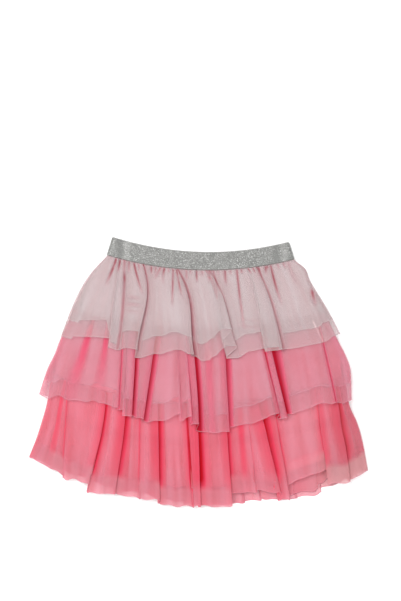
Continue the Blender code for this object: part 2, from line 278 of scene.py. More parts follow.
# Folds.
LIFT_START, LIFT_CURVE = 0.08, 1.15  # their height at the seam, as a share of the hem's, and how late they rise
LAP_START, LAP_CURVE = 0.25, 0.7  # the same for the width that is folded over
HEM_CURVE = 2.0  # how late the hem's own steps show on the way down
BOW_PEAK = 27 / 4  # makes bow and sag the greatest push in millimetres
LAP_ROOM, PLEAT_ROOM, WALL_ROOM = 2.4, 1.8, 1.5  # room between pleats, with and without a lap, and at the sides
NEXT_ROOM = 2.6  # what a lap leaves free before the next pleat
LEAST_TURN, LEAST_LAP = 0.02, 1.2  # a folded edge's least radius, and a lap's least width as a multiple of it
LEAD_IN, LEAD_OUT = 0.8, 1.0  # where the cloth is flat again, before and after a fold
PLAIN, IN_FOLD, AT_SIDE = range(3)  # kinds of knots
EDGE_KNOTS = (5, 2)  # which knot of a fold is its edge, where its right side is on top and where its left side is
LEFT_TURNS = (0, 30, 60, 90)  # degrees round the left side fold, from its end to the front
RIGHT_TURNS = (90, 60, 30, 0, -30, -60, -90)  # and round the right one, from the front to the back
LAST_TURNS = (-90, -60, -30)  # and round the left one, from the back
FOLD_SAMPLES, SIDE_SAMPLES = 3, 4  # columns from one knot to the next, in a fold and round a side
LEAST_SAMPLES = 2  # and between two pleats
BACK_STEP = 3.5  # least distance between two columns on the back
HIDDEN = 5 * FOLD_SAMPLES  # columns from a fold's edge to where the cloth shows again

# Rows of points down a layer: the least number, and how far above the hem the last but one is, as a share of a row.
LEAST_ROWS, LAST_ROW = 8, 0.35

# Ripples round a tier, as how many and how high, and how they lean and grow on the way down.
RIPPLES, RIPPLE_CURVE = ((23, 0.30), (41, 0.22), (67, 0.16), (101, 0.10)), 1.5
RIPPLE_LEANS, RIPPLE_TURN = (-1.5, 1.5), 3
BACK_RIPPLES = 0.15  # the share of them that is left on the pressed back

# Waves of the ragged hem: their share, how many go round at least and at most, how many are added up, and their size.
HEM_WAVES, WAVE_SIZES = ((0.6, 14, 40, 5), (0.4, 60, 150, 6)), (0.2, 0.6)
FULL_CIRCLE = 6.28  # radians, as good as all round, for where a ripple or a wave starts

# Shade, which deepens the net's colour: in a valley, in a fold, near the hem and at the rim.
VALLEY_REACH, VALLEY_CURVE = 1.9, 1.4  # how many of its widths a valley's shade reaches, and how fast it fades
FULL_STEP = 3  # a fold at least this high is shaded in full
FOLD_DEPTH = 0.5  # how much of its valley's shade is added to what cloth out of sight has
BEND_START = 0.45  # the share of that where the cloth starts to turn over
HEM_FADE_START, HEM_FADE_LENGTH = 0.74, 0.14  # as shares of the way down
RIM_CURVE = 1.3  # how late the rim's shade rises

# Gathers: the columns past the front that they are worked out for, their shape, and how they and wrinkles are shaded.
GATHER_MARGIN = 10
GATHER_WIDTH, GATHER_SPREAD = 1.3, (0.9, 0.5)  # the least, and the shares at the top and added on the way down
GATHER_LEAN, GATHER_END = 1.2, 2.5  # how late one leans and ends
GATHER_STARTS = (2.5, 9)  # how far down one takes to start, at the seam and below it
SEAM_START = 0.6  # how much of one is there at the very seam
GATHER_DIP, GATHER_SHADE, FAINTEST = 1.3, 1.05, 0.05  # how deep one of depth 1 is and is shaded, and the least shade
WRINKLE_TILT, WRINKLE_SHADE = 0.12, 0.45


# ---------------------------------------------------------------- shapes

def between(start, end, share):
    return start + (end - start) * share


def monotone(xs, ys, at):
    """Smooth values at `at` through the points (xs, ys), without overshoot."""
    xs, ys, at = (np.asarray(v, float) for v in (xs, ys, at))
    steps = np.diff(xs)
    slopes = np.diff(ys) / steps
    tangents = np.concatenate([slopes[:1], (slopes[:-1] + slopes[1:]) / 2, slopes[-1:]])
    tangents[1:-1][slopes[:-1] * slopes[1:] <= 0] = 0
    for ends in (tangents[:-1], tangents[1:]):
        ends[:] = np.clip(ends, -3 * np.abs(slopes), 3 * np.abs(slopes))
    k = np.clip(np.searchsorted(xs, at, side="right") - 1, 0, len(xs) - 2)
    t = (at - xs[k]) / steps[k]
    return ((1 + 2 * t) * (1 - t) ** 2 * ys[k] + t * (1 - t) ** 2 * steps[k] * tangents[k]
            + t * t * (3 - 2 * t) * ys[k + 1] + t * t * (t - 1) * steps[k] * tangents[k + 1])


def level_lines(lines, shares):
    """The level lines at these shares of the way down, as one Line of columns."""
    drops = [(lines[0].mid_y - line.mid_y) / (lines[0].mid_y - lines[-1].mid_y) for line in lines]
    return Line(*(monotone(drops, values, shares)[:, None] for values in zip(*lines)))


def level_y(line, x):
    """Y on a level line at x, which sags between its ends."""
    across = 2 * (x - line.left_x) / (line.right_x - line.left_x) - 1
    tilt = (line.right_y - line.left_y) / 2
    sag = (line.right_y + line.left_y) / 2 - line.mid_y
    return line.mid_y + tilt * across + sag * across * across


def mirrored(pleats, lines):
    """The back's pleats: the front's, seen from behind, with no shade."""
    seam_sum = lines[0].left_x + lines[0].right_x
    hem_sum = lines[-1].left_x + lines[-1].right_x
    hem = level_lines(lines, np.array([1.0]))
    made = []
    for p in reversed(pleats):
        x = hem_sum - p.hem_x
        shift = float(level_y(hem, x)[0, 0] - level_y(hem, p.hem_x)[0, 0])
        made.append(Pleat(seam_sum - p.seam_x, x, p.right_up, p.left_up, p.lap, p.hem_right + shift,
                          p.hem_left + shift, bow=-p.bow, sag=-p.sag))
    return made


TIERS = {
    1: Tier(slot="pale_pink_net", lines=TIER_1_LINES, front=TIER_1_FRONT, back=mirrored(TIER_1_FRONT, TIER_1_LINES),
            low_hems=(LowHem(False, 91, 95, 114, 118, 19, 0), LowHem(False, -129, -126, -116, -112, 17, 0)),
            cut=(0.92, 0.129), column_step=0.9, covers=(0.38, 0.66), rich=0.86, ragged=0.5, shorter=0,
            hem_fade=0, soften=0.35, folded=0.12, tail=(0.2, 1.4, 3.0), rim=(0.34, 6)),
    2: Tier(slot="mid_pink_net", lines=TIER_2_LINES, front=TIER_2_FRONT, back=mirrored(TIER_2_FRONT, TIER_2_LINES),
            low_hems=(),
            cut=(1.0, 0.145), column_step=3.0, covers=(0.44, 0.54), rich=0.80, ragged=1.2, shorter=0,
            hem_fade=0, soften=0, folded=0.3, tail=(0.3, 1.0, 1.2), rim=(0.25, 13)),
    3: Tier(slot="deep_pink_net", lines=TIER_3_LINES, front=TIER_3_FRONT, back=TIER_3_BACK,
            low_hems=(LowHem(True, 92, 118, 176, 200, 25, 0.3), LowHem(False, 48, 52, 110, 116, 15, 0)),
            cut=(1.1, 0.150), column_step=3.0, covers=(0.64, 0.64), rich=0.72, ragged=1.6, shorter=3.5,
            hem_fade=0.68, soften=0, folded=0.45, tail=(0.43, 1.4, 3.0), rim=(0.15, 8)),
}


def row_shares(length, step):
    """Even shares of the way down, with finer rows at the hem."""
    count = max(LEAST_ROWS, round(length / step))
    shares = np.linspace(0, 1, count + 1)
    return np.concatenate([shares[:-1], [1 - LAST_ROW / count, 1.0]])


def fold_knots(pleat, place, high, low, turn, lap):
    """Knots (x, height, hem, kind) across one pleat with its left side on top."""
    left, right = pleat.hem_left, pleat.hem_right
    return [
        (place - lap - 2 * turn - LEAD_IN, high, left, PLAIN), (place - turn, high, left, IN_FOLD),
        (place, high - turn, left, IN_FOLD), (place - turn, high - 2 * turn, (3 * left + right) / 4, IN_FOLD),
        (place - lap, high - 2 * turn, (left + 3 * right) / 4, IN_FOLD),
        (place - lap - turn, low + turn, right, IN_FOLD), (place - lap, low, right, IN_FOLD),
        (place + LEAD_OUT, low, right, PLAIN),
    ]


def pleat_places(pleats, down, low, high, rooms):
    """The x of every pleat on every row, kept apart and between the side folds."""
    v = down[:, None]
    seam, hem, bow, sag = (np.array([getattr(p, f) for p in pleats]) for f in ("seam_x", "hem_x", "bow", "sag"))
    places = seam + (hem - seam) * v + BOW_PEAK * (bow * v * (1 - v) ** 2 + sag * v * v * (1 - v))
    places = np.clip(places, low + WALL_ROOM, high - WALL_ROOM)
    for i in range(1, len(pleats)):
        places[:, i] = np.maximum(places[:, i], places[:, i - 1] + rooms[i])
    for i in range(len(pleats) - 2, -1, -1):
        places[:, i] = np.minimum(places[:, i], places[:, i + 1] - rooms[i + 1])
    return places


def valley(distance, deep, wide):
    """Shade across a valley: full in its middle, and fading out at its sides."""
    return deep * (1 - np.clip(np.abs(distance) / (VALLEY_REACH * wide), 0, 1) ** 2) ** VALLEY_CURVE


class Wall:
    """The knots of one wall of a tube of cloth, from left to right, with each pleat's edge."""

    def __init__(self, pleats, down, hem_line, base, press, low, high):
        lift = (LIFT_START + (1 - LIFT_START) * down ** LIFT_CURVE) * press
        lap_share = LAP_START + (1 - LAP_START) * down ** LAP_CURVE
        rooms = [0.0] + [LAP_ROOM if a.lap or b.lap else PLEAT_ROOM for a, b in zip(pleats, pleats[1:])]
        self.pleats = pleats
        self.places = pleat_places(pleats, down, low, high, rooms)
        self.knots, self.edges = [], []
        for i, pleat in enumerate(pleats):
            place = self.places[:, i]
            left, right = base + pleat.left_up * lift, base + pleat.right_up * lift
            hem_level = level_y(hem_line, pleat.hem_x)[0, 0]
            eased = pleat._replace(hem_left=pleat.hem_left - hem_level, hem_right=pleat.hem_right - hem_level)
            if not pleat.lap:
                self.edges.append(len(self.knots))
                self.knots.append((place, left, eased.hem_left, PLAIN))
                continue
            turn = np.maximum(np.abs(left - right) / 4, LEAST_TURN)
            before = place - (self.places[:, i - 1] if i else low[:, 0])
            after = (self.places[:, i + 1] if i + 1 < len(pleats) else high[:, 0]) - place
            over_left = pleat.left_up > pleat.right_up
            room = (before if over_left else after) - 2 * turn - NEXT_ROOM
            lap = np.maximum(np.minimum(pleat.lap * lap_share, room), LEAST_LAP * turn)
            if over_left:
                rows = fold_knots(eased, place, left, right, turn, lap)
            else:
                swapped = eased._replace(hem_left=eased.hem_right, hem_right=eased.hem_left)
                rows = [(2 * place - x, z, hem, kind) for x, z, hem, kind
                        in reversed(fold_knots(swapped, place, right, left, turn, lap))]
            self.edges.append(len(self.knots) + EDGE_KNOTS[over_left])
            self.knots += rows


def side_knots(line, end, sign, angles):
    """Knots round one side fold; end is the wall's end, sign -1 for the left side, angles in degrees."""
    middle = (line.front + line.back)[:, 0] / 2
    half = (line.front - line.back)[:, 0] / 2
    return [(end + sign * SIDE_STRETCH * half * math.cos(a), middle + half * math.sin(a), 0, AT_SIDE)
            for a in map(math.radians, angles)]


def through(knots, counts):
    """Points on centripetal curves through the knots of every row, with counts[k] samples from knot k on, with how
    far the hem is out of its level line and how far each column is inside a fold."""
    hems = np.stack([np.broadcast_to(k[2], k[0].shape) for k in knots], 1)
    folds = np.array([float(k[3] == IN_FOLD) for k in knots])
    p = np.stack([np.stack(k[:2], 1) for k in knots], 1)
    n = p.shape[1]
    columns, hem_out, fold_out = [], [], []
    for k in range(n):
        p0, p1, p2, p3 = (p[:, (k + d) % n] for d in (-1, 0, 1, 2))
        d01, d12, d23 = (np.maximum(np.linalg.norm(b - a, axis=1), 1e-4)[:, None] ** 0.5
                         for a, b in ((p0, p1), (p1, p2), (p2, p3)))
        t1, t2 = d01, d01 + d12
        t3 = t2 + d23
        for s in range(counts[k]):
            u = s / counts[k]
            t = t1 + (t2 - t1) * u
            a1 = (t1 - t) / t1 * p0 + t / t1 * p1
            a2 = (t2 - t) / (t2 - t1) * p1 + (t - t1) / (t2 - t1) * p2
            a3 = (t3 - t) / (t3 - t2) * p2 + (t - t2) / (t3 - t2) * p3
            b1 = (t2 - t) / t2 * a1 + t / t2 * a2
            b2 = (t3 - t) / (t3 - t1) * a2 + (t - t1) / (t3 - t1) * a3
            columns.append((t2 - t) / (t2 - t1) * b1 + (t - t1) / (t2 - t1) * b2)
            ease = u * u * (3 - 2 * u)
            hem_out.append(hems[:, k] * (1 - ease) + hems[:, (k + 1) % n] * ease)
            fold_out.append(folds[k] * (1 - u) + folds[(k + 1) % n] * u)
    return np.stack(columns, 1), np.stack(hem_out, 1), np.array(fold_out)


def plain_path(line, parts, samples):
    """Points round a tube with no folds but those at its sides, on every row."""
    half = (line.front - line.back)[:, 0] / 2
    left, right = line.left_x[:, 0] + SIDE_STRETCH * half, line.right_x[:, 0] - SIDE_STRETCH * half
    knots = side_knots(line, left, -1, LEFT_TURNS)
    knots += [(left + (right - left) * i / parts, line.front[:, 0], 0, PLAIN) for i in range(1, parts)]
    knots += side_knots(line, right, 1, RIGHT_TURNS)
    knots += [(left + (right - left) * i / parts, line.back[:, 0], 0, PLAIN) for i in range(parts - 1, 0, -1)]
    knots += side_knots(line, left, -1, LAST_TURNS)
    return through(knots, [samples] * len(knots))[0]


def unit_along(path):
    """The direction of the cloth round every row, as vectors of length 1."""
    along = np.roll(path, -1, 1) - np.roll(path, 1, 1)
    return along / np.maximum(np.linalg.norm(along, axis=2, keepdims=True), 1e-6)


class Tube:
    """One layer of a tier's cloth as rows of points round the body, from the seam to the hem."""

    def __init__(self, number, down):
        self.number, self.tier, self.down = number, TIERS[number], down
        line = self.line = level_lines(self.tier.lines, down)
        self.middle, self.half = (line.right_x + line.left_x) / 2, (line.right_x - line.left_x) / 2
        hem_line = level_lines(self.tier.lines, np.array([1.0]))
        height = (line.front - line.back) / 2
        low, high = line.left_x + SIDE_STRETCH * height, line.right_x - SIDE_STRETCH * height
        front, back = (Wall(pleats, down, hem_line, base[:, 0], press, low, high) for pleats, base, press
                       in ((self.tier.front, line.front, 1.0), (self.tier.back, line.back, BACK_PRESS)))
        back_top = max(max(p.left_up, p.right_up) for p in self.tier.back)
        floor = line.back[:, 0]
        knots = side_knots(line, low[:, 0], -1, LEFT_TURNS)
        first = len(knots)
        knots += front.knots
        last = len(knots)
        knots += side_knots(line, high[:, 0], 1, RIGHT_TURNS)
        knots += [(x, floor + back_top * BACK_PRESS * down ** LIFT_CURVE - (z - floor), hem, kind)
                  for x, z, hem, kind in reversed(back.knots)]
        knots += side_knots(line, low[:, 0], -1, LAST_TURNS)
        step = self.tier.column_step
        counts = []
        for k, (knot, following) in enumerate(zip(knots, knots[1:] + knots[:1])):
            if IN_FOLD in (knot[3], following[3]):
                counts.append(FOLD_SAMPLES)
            elif knot[3] == following[3] == AT_SIDE:
                counts.append(SIDE_SAMPLES)
            else:
                gap = math.hypot(following[0][-1] - knot[0][-1], following[1][-1] - knot[1][-1])
                widest = step if first - 1 <= k < last else max(BACK_STEP, step)
                counts.append(max(LEAST_SAMPLES, math.ceil(gap / widest)))
        starts = np.concatenate([[0], np.cumsum(counts)])
        self.path, self.hem_step, self.folded = through(knots, counts)
        self.columns = self.path.shape[1]
        self.front = (starts[first], starts[last])
        self.on_front = np.zeros(self.columns, bool)
        self.on_front[slice(*self.front)] = True
        self.shade = self.valley_shade(front, [starts[first + e] for e in front.edges])

    def valley_shade(self, wall, edges):
        """The painted shade on every point, from 0 to 1: in the valleys and folds of the front wall, and at the rim."""
        x, v = self.path[:, :, 0], self.down[:, None]
        shade = np.zeros_like(x)
        bounds = [self.front[0]] + edges + [self.front[1]]
        share, times, plus = self.tier.tail

        def deepen(start, stop, value):
            shade[:, start:stop] = np.maximum(shade[:, start:stop], value)

        for i, pleat in enumerate(wall.pleats):
            if not (pleat.deep_seam or pleat.deep_hem):
                continue
            deep = between(pleat.deep_seam, pleat.deep_hem, v)
            wide = between(pleat.wide_seam, pleat.wide_hem, v)
            before, edge, after = bounds[i:i + 3]
            aside = x - wall.places[:, i:i + 1]
            deepen(before, after, share * valley(aside[:, before:after], deep, times * wide + plus))
            if not pleat.lap:
                deepen(before, after, valley(aside[:, before:after], deep, wide))
            elif pleat.left_up > pleat.right_up:
                deepen(edge + 1, after, valley(np.maximum(aside[:, edge + 1:after], 0), deep, wide))
            else:
                deepen(before, edge, valley(np.minimum(aside[:, before:edge], 0), deep, wide))
        for i, pleat in enumerate(wall.pleats):
            if not pleat.lap:
                continue
            edge, step = bounds[i + 1], pleat.left_up - pleat.right_up
            deep = between(pleat.deep_seam, pleat.deep_hem, v)
            strength = min(1.0, abs(step) / FULL_STEP) * (self.tier.folded + FOLD_DEPTH * deep)
            bend = strength * np.linspace(BEND_START, 1.0, FOLD_SAMPLES)
            if step > 0:
                deepen(edge, edge + HIDDEN, strength)
                deepen(edge - FOLD_SAMPLES, edge, bend)
            else:
                deepen(edge - HIDDEN, edge, strength)
                deepen(edge, edge + FOLD_SAMPLES, bend[:, ::-1])
        faded = 1 - self.tier.hem_fade * np.clip((v - HEM_FADE_START) / HEM_FADE_LENGTH, 0, 1)
        faded = faded * (1 - self.tier.soften * (1 - (1 - v) ** 2))
        strength, wide = self.tier.rim
        rim = strength * np.clip((np.abs(x - self.middle) - self.half + wide) / wide, 0, 1) ** RIM_CURVE
        return np.clip(np.maximum(shade * faded, rim), 0, 1)

    def hem_wave(self, draw, turns, ragged):
        """Small uneven steps of the hem: slow ones and quick ones."""
        wave = np.zeros(self.columns)
        for share, fewest, most, count in HEM_WAVES:
            for _ in range(count):
                size, cycles = draw.uniform(*WAVE_SIZES), draw.randint(fewest, most)
                wave += share * ragged * size * np.sin(cycles * turns + draw.uniform(0, FULL_CIRCLE))
        return wave

    def points(self, inside, ragged):
        """The points; inside moves them in by that share of the nest, ragged makes the hem uneven."""
        path, v = self.path, self.down[:, None]
        along = unit_along(path)
        room = self.line.nest * inside * np.ones_like(path[:, :, 0])
        room = room * (1 - self.folded) + np.minimum(room, FOLD_NEST * v + SEAM_NEST) * self.folded
        x = path[:, :, 0] + along[:, :, 1] * room
        x = x - inside * SIDE_NEST * ((x - self.middle) / self.half) ** SIDE_NEST_CURVE * v
        z = path[:, :, 1] - along[:, :, 0] * room
        draw = random.Random(self.number)
        turns = np.arange(self.columns) / self.columns * 2 * math.pi
        free = np.where(self.on_front, 1.0, BACK_RIPPLES)
        for count, size in RIPPLES:
            phase, lean = draw.uniform(0, FULL_CIRCLE), draw.uniform(*RIPPLE_LEANS)
            z = z + size * np.sin(count * turns + phase + lean * v * RIPPLE_TURN) * v ** RIPPLE_CURVE * free
        eased = (v / self.down[-1]) ** HEM_CURVE
        y = level_y(self.line, x) + (self.hem_step + self.hem_wave(draw, turns, ragged)) * eased
        return np.stack([x, y, z], 2)

    def lower_hem(self, points, low):
        """Lets the hem hang lower in one place, as a LowHem says."""
        window = np.interp(points[-1, :, 0], low[1:5], (0, 1, 1, 0))
        window[self.on_front == low.on_back] = 0
        points[:, :, 1] -= low.drop * window * (self.down[:, None] / self.down[-1]) ** LOW_CURVE
        self.shade = np.maximum(self.shade, low.shade * window)


def add_gathers(points, shade, front, gathers, seam_y, lowest):
    """Draws the front wall in along short gathers below the waist, down to the lowest height of each row, and paints
    shade along the gathers and in the troughs of the wrinkles.
    """
    wide = slice(front[0] - GATHER_MARGIN, front[1] + GATHER_MARGIN)
    wall = slice(*front)
    x, y = points[:, wide, 0], points[:, wide, 1]
    drop = seam_y(x) - y
    dip = np.zeros_like(x)
    for g in gathers:
        along = np.clip((drop - g.start) / g.length, 0, 1)
        centre = g.x + g.lean * along ** GATHER_LEAN
        width = max(g.width, GATHER_WIDTH) * (GATHER_SPREAD[0] + GATHER_SPREAD[1] * along)
        started = np.clip((drop - g.start) / GATHER_STARTS[bool(g.start)] + SEAM_START * (not g.start), 0, 1)
        profile = np.exp(-((x - centre) / width) ** 2) * ((1 - along ** GATHER_END) * started)
        dip += GATHER_DIP * g.depth * profile
        # painted shade along the gather's crease
        deep = min(GATHER_SHADE, GATHER_SHADE * g.depth + FAINTEST)
        shade[:, wide] = np.maximum(shade[:, wide], deep * profile)
    for w in WRINKLES:
        patch = np.clip(1 - ((x - w.x) / w.half_x) ** 2, 0, 1) * np.clip(1 - ((y - w.y) / w.half_y) ** 2, 0, 1)
        wave = np.sin(2 * math.pi * (y - w.y + WRINKLE_TILT * (x - w.x)) / w.step)
        dip -= w.height * patch * wave
        # painted shade in the wrinkles' troughs
        shade[:, wide] += WRINKLE_SHADE * w.height * patch * (0.5 - 0.5 * wave)
    dip = dip[:, GATHER_MARGIN:-GATHER_MARGIN]
    points[:, wall, 2] = np.maximum(points[:, wall, 2] - dip, lowest)


# ---------------------------------------------------------------- meshes

def select_only(*pieces):
    """Selects these pieces alone, and makes the last of them active."""
    for o in bpy.context.view_layer.objects:
        o.select_set(False)
    for piece in pieces:
        bpy.context.view_layer.objects.active = piece
        piece.select_set(True)


def cloth_mesh(name, points, u, up, material, closed=False):
    """Quads round a tube through rows of points in millimetres, mapped by u and up in metres. A closed one also has
    quads from the last row to the first."""
    rows, columns = points.shape[:2]
    index = np.arange(rows * columns).reshape(rows, columns)
    if closed:
        index = np.concatenate([index, index[:1]])
    following = np.roll(index, -1, 1)
    faces = np.stack([index[:-1], index[1:], following[1:], following[:-1]], 2).reshape(-1, 4)
    mesh = bpy.data.meshes.new(name)
    mesh.from_pydata((points.reshape(-1, 3) * MM).tolist(), [], faces.tolist())
    r, c = np.meshgrid(np.arange(len(index) - 1), np.arange(columns), indexing="ij")
    corners = ((r, c), (r + 1, c), (r + 1, c + 1), (r, c + 1))
    uv = np.stack([np.stack([u[b], up[a, b]], 2) for a, b in corners], 2)
    mesh.uv_layers.new(name="cloth").data.foreach_set("uv", uv.reshape(-1).astype(np.float32))
    mesh.materials.append(material)
    mesh.polygons.foreach_set("use_smooth", [True] * len(mesh.polygons))
    piece = bpy.data.objects.new(name, mesh)
    bpy.context.scene.collection.objects.link(piece)
    return piece


def ring_mesh(name, points, width, wall, material, shade=None):
    """A tube of cloth with its thickness, open at both ends, from rows of points in millimetres."""
    hem = points[-1]
    steps = np.linalg.norm(np.roll(hem, -1, 0) - hem, axis=1)
    u = np.concatenate([[0], np.cumsum(steps)]) * (width / steps.sum())
    falls = np.linalg.norm(np.diff(points, axis=0), axis=2)
    up = np.concatenate([np.cumsum(falls[::-1], 0)[::-1], np.zeros((1, len(hem)))])
    up = np.concatenate([up, up[:, :1]], 1) * MM
    piece = cloth_mesh(name, points, u, up, material)
    if shade is not None:
        attribute = piece.data.attributes.new("fold_shade", "FLOAT", "POINT")
        attribute.data.foreach_set("value", shade.reshape(-1).astype(np.float32))
    select_only(piece)
    thick = piece.modifiers.new("wall", "SOLIDIFY")
    thick.thickness, thick.offset = wall * MM, 0
    bpy.ops.object.modifier_apply(modifier=thick.name)
    return piece


def finish_piece(piece, node_name):
    """Puts a piece on the root body, and hides the node that it stands for."""
    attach(piece, "root")
    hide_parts(node_name)


# ---------------------------------------------------------------- finishes

# Places and widths are in metres here. The numbers of a range are where it starts and where it is full, and the third
# and the fourth, where there are any, what it gives there.
CELL_UNEVEN, THREAD = 0.35, (0.16, 0.04)  # how uneven the net's cells are, and how near their edge a thread is
GLOW_SHARE = 0.35  # how much of the light passes through the threads of the net
RED_KEPT = 0.98  # the share of their red that the streaks keep
STREAKS, CLOUDS, BANDS, MOTTLE = (95, 6, 1), (45, 38, 1), (38, 7, 1), 60.0  # how fine the unevenness is, round and down
HEM_EDGE = (0.0016, 0.0004)  # above the hem
SHADE_COVER, EDGE_COVER, DUSTY_COVER = 0.55, 0.15, 0.4  # how much more each of them hides

# The first tier's mottles, and the thread of its side seam.
MOTTLE_GREY, SEAM_THREAD = (0.61, 0.52, 0.53, 1), (0.92, 0.80, 0.79, 1)
SEAM_LINE, SEAM_WIDE, SEAM_STRENGTH = ((0.160, 0.0726), (0.1775, 0.036)), 0.0014, 0.85

# The third tier's dusty hem, the painted shade at its right end, and the painted highlight where the hem is raised.
DUSTY_HEIGHT, DUSTY_ACROSS, DUSTY_BANDS = (0.0290, 0.0215, 0.0, 0.6), (-0.14, 0.09, 1.3, 0.55), (0.42, 0.56, 0.35)
RIGHT_END_SHADE, RIGHT_SHADE_ACROSS = (0.55, 0.13, 0.16, 1), (0.178, 0.205, 0.0, 0.4)
END_DUSTY, END_ACROSS, END_HEIGHT = (0.68, 0.39, 0.40, 1), (0.15, 0.19, 0.0, 0.75), (0.030, 0.022)
RAISED_X, RAISED_HIGHLIGHT, HIGHLIGHT_REACH = 0.147, (0.78, 0.44, 0.50, 1), (0.030, 0.014, 0.0, 0.35)
DUSTY_REACH, DUSTY_RAISED = (0.022, 0.036), {"outer": 0.45, "under": 1.0}

# The lining's change to pink, and the elastic's glitter, its lighter and darker patches, and the painted light along
# its edges, which lifts the shade where the band rounds over.
LINING_PINKER, KNIT_SHADOW = (0.075, 0.02), (0.35, 0.05, 0.08, 1)
FLAKES, FLAKE_GREY, FLAKE_BRIGHT = 1250.0, (0.10, 0.60), (0.78, 0.93)
BAND_PATCHES = ((-0.1015, "bright", 0.6), (0.121, "bright", 0.4), (-0.111, "dark", 0.7), (0.109, "dark", 0.6))
PATCH_REACH, LIT_EDGES = (0.0065, 0.0015), ((0.0014, 0.0004), (0.0236, 0.0246))


def opaque(colour, times=1.0, plus=0.0):
    """A colour made lighter or darker, with the opacity that a shader's input wants."""
    return tuple(min(1.0, c * times + plus) for c in colour[:3]) + (1,)


class Finish:
    """A material that is being made: its base colour, and short ways to add nodes."""

    def __init__(self, name, base):
        self.material = bpy.data.materials.new(name)
        self.material.use_nodes = True
        self.tree = self.material.node_tree
        self.tree.nodes.clear()
        self.base = base

    @cached_property
    def uv(self):
        return self.add("UVMap", uv_map="cloth")

    @cached_property
    def place(self):
        return self.add("TexCoord", output="Object")

    def add(self, kind, inputs=None, output=0, **settings):
        """An output of a new node; a socket given as an input is linked, and a value is set on it."""
        made = self.tree.nodes.new("ShaderNode" + kind)
        for key, value in settings.items():
            setattr(made, key, value)
        for key, value in (inputs or {}).items():
            if isinstance(value, bpy.types.NodeSocket):
                self.tree.links.new(value, made.inputs[key])
            else:
                made.inputs[key].default_value = value
        return made.outputs[output]

    def tint(self, share, colour):
        """Mixes a share of another colour into the base colour."""
        self.base = self.add("Mix", {0: share, 6: self.base, 7: colour}, 2, data_type="RGBA")

    def ranged(self, value, low, high, to_low=0.0, to_high=1.0):
        return self.add("MapRange", {"Value": value, "From Min": low, "From Max": high,
                                     "To Min": to_low, "To Max": to_high})

    def maths(self, operation, value, *others):
        """The value joined with each of the others in turn."""
        for other in others:
            value = self.add("Math", {0: value, 1: other}, operation=operation)
        return value

    def away(self, value, middle):
        """How far a value is from the middle."""
        return self.add("Math", {0: self.maths("SUBTRACT", value, middle)}, operation="ABSOLUTE")

    def axis(self, place, name):
        return self.add("SeparateXYZ", {0: place}, name)

    def noise(self, place, scale, detail):
        """Noise at one scale, or at one for each axis."""
        if isinstance(scale, tuple):
            place, scale = self.add("Mapping", {"Vector": place, "Scale": scale}), 1.0
        return self.add("TexNoise", {"Vector": place, "Scale": scale, "Detail": detail}, "Fac")

    def wave(self, direction, scale, distortion):
        return self.add("TexWave", {"Vector": self.uv, "Scale": scale, "Distortion": distortion}, "Fac",
                        wave_type="BANDS", bands_direction=direction)

    def bump(self, height, strength, distance):
        return self.add("Bump", {"Height": height, "Strength": strength, "Distance": distance})

    def surface(self, **inputs):
        """The usual shader in the base colour; an input's name has _ for a space."""
        named = {key.replace("_", " "): value for key, value in inputs.items()}
        return self.add("BsdfPrincipled", {"Base Color": self.base, **named})

    def finished(self, shader):
        self.tree.links.new(shader, self.tree.nodes.new("ShaderNodeOutputMaterial").inputs[0])
        return self.material


def seam_line(f):
    """How strongly the thread of the side seam shows, 0 beside it."""
    start, end = SEAM_LINE
    length = math.dist(start, end)
    x, y = ((b - a) / length for a, b in zip(start, end))

    def measured(*way):
        """How far a place lies in a direction, and how far the seam's start does."""
        return (f.add("VectorMath", {0: f.place, 1: (*way, 0)}, "Value", operation="DOT_PRODUCT"),
                start[0] * way[0] + start[1] * way[1])

    along = f.maths("SUBTRACT", *measured(x, y))
    aside = f.ranged(f.away(*measured(-y, x)), SEAM_WIDE, SEAM_WIDE * 0.4, 0.0, SEAM_STRENGTH)
    window = f.maths("MULTIPLY", f.ranged(along, 0.0, 0.004), f.ranged(along, length, length - 0.002))
    return f.maths("MULTIPLY", aside, window)


def dusty_hem(f, up, bands, colour, raised_share):
    """Makes the third tier's hem dusty, less so where it is raised, and gives its share. It also paints shade at the
    right end and a highlight where the hem is raised.
    """
    across = f.axis(f.place, "X")
    raised = f.away(across, RAISED_X)
    dusty = f.maths("MULTIPLY", f.ranged(up, *DUSTY_HEIGHT), f.ranged(raised, *DUSTY_REACH, raised_share),
                    f.ranged(bands, *DUSTY_BANDS), f.ranged(across, *DUSTY_ACROSS))
    f.tint(dusty, opaque(colour))
    # painted shade at the right end, where the cloth turns over
    f.tint(f.ranged(across, *RIGHT_SHADE_ACROSS), RIGHT_END_SHADE)
    f.tint(f.maths("MULTIPLY", f.ranged(across, *END_ACROSS), f.ranged(up, *END_HEIGHT)), END_DUSTY)
    # painted highlight where the hem is raised
    f.tint(f.ranged(raised, *HIGHLIGHT_REACH), RAISED_HIGHLIGHT)
    return dusty


